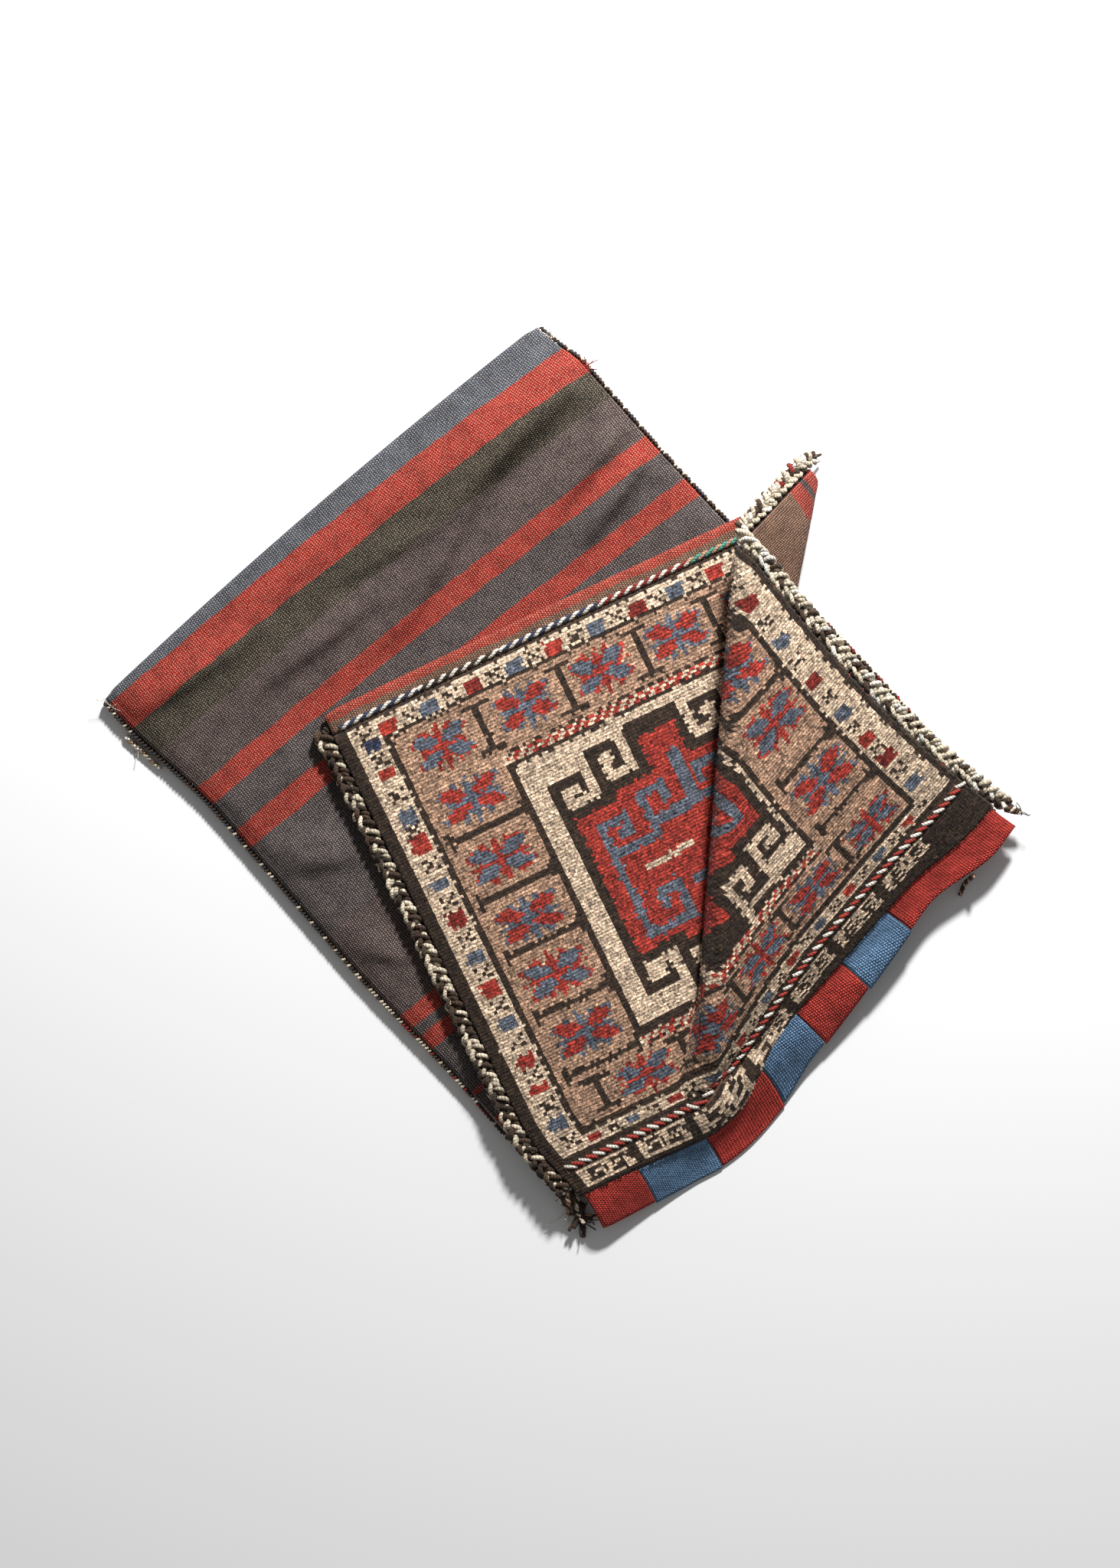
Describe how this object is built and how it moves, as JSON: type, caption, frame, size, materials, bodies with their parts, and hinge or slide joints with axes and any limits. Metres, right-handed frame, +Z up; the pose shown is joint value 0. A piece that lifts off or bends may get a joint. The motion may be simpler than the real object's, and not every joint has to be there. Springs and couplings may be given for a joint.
{
  "type": "kilim saddle bag",
  "caption": "Woven double saddle bag folded in half at its bridge and lying flat, with knotted pile faces, striped kilim backs and braided side seams.",
  "frame": {"origin": "under the middle of the folded bag's outline, on the surface it lies on", "axes": "+Z up, off the floor; +X along the lower pouch's weft, towards its right seam; +Y from the bridge fold towards the lower pouch's bottom fold"},
  "size_m": [0.6425, 0.6832, 0.1096],
  "materials": {
    "woven_cloth": "matt wool: knotted pile faces in camel, ivory, red and blue, and a striped weft-faced kilim back in charcoal, red, green and blue-grey",
    "seam_braid": "matt ivory and dark brown plied wool",
    "seam_overcast": "matt brown wool with ivory stitches",
    "mending_thread": "matt off-white cotton thread",
    "dark_yarn": "matt dark brown wool"
  },
  "bodies": {
    "root": {"woven_strip": "woven_cloth", "upper_left_braid": "seam_braid", "upper_right_braid": "seam_braid", "lower_left_overcast": "seam_overcast", "lower_right_overcast": "seam_overcast", "seam_mending_thread": "mending_thread", "corner_yarn_bunch": "dark_yarn", "corner_cord_end": "dark_yarn", "closure_cord": "dark_yarn", "mouth_corner_knot": "dark_yarn", "tip_tail": "dark_yarn"}
  },
  "joints": []
}
